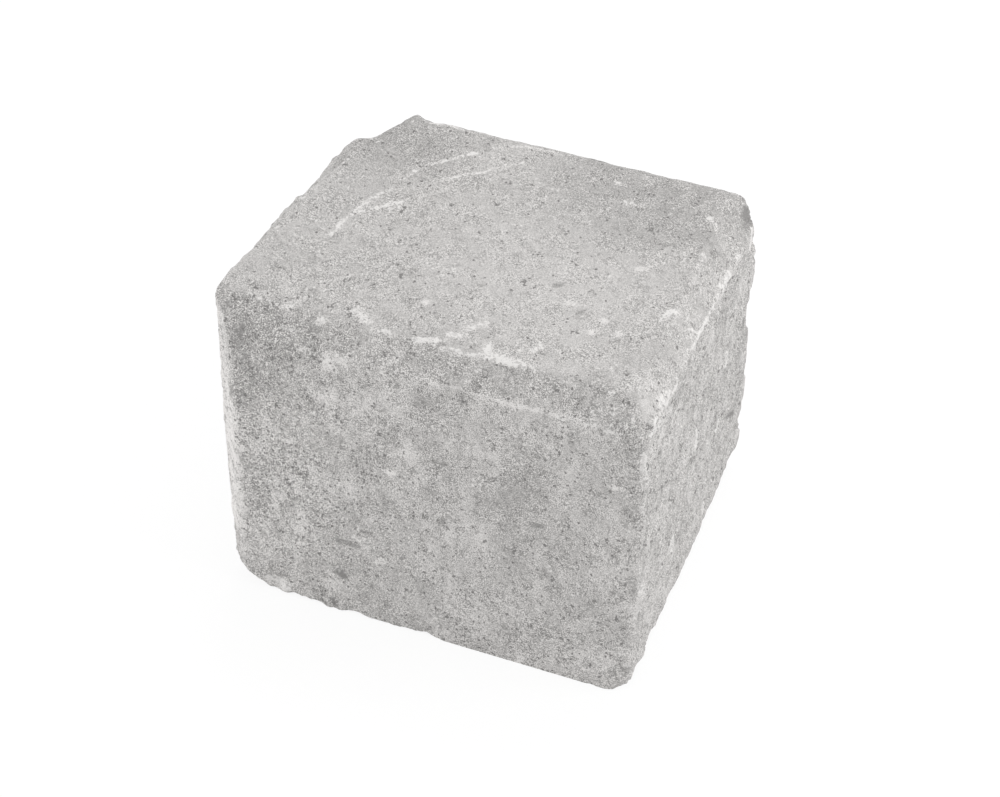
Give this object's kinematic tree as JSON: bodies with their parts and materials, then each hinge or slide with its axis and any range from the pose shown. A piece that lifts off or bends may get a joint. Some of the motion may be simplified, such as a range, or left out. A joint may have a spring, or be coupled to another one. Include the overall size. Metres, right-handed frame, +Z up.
{
  "type": "garden wall block",
  "caption": "Tumbled grey concrete walling block: a near-cubic cast block with worn edges, a broken rear corner and flat beds for dry or mortared garden walls.",
  "frame": {"origin": "middle of the lower bed, at floor level", "axes": "+X along the seen face towards the right end, +Y from the seen face to the back, +Z up to the upper bed"},
  "size_m": [0.178, 0.15, 0.15],
  "materials": {
    "concrete": "matt grey dry-cast concrete with sand speckle, pores and pale bruises along the worn edges"
  },
  "bodies": {
    "root": {"block": "concrete"}
  },
  "joints": []
}
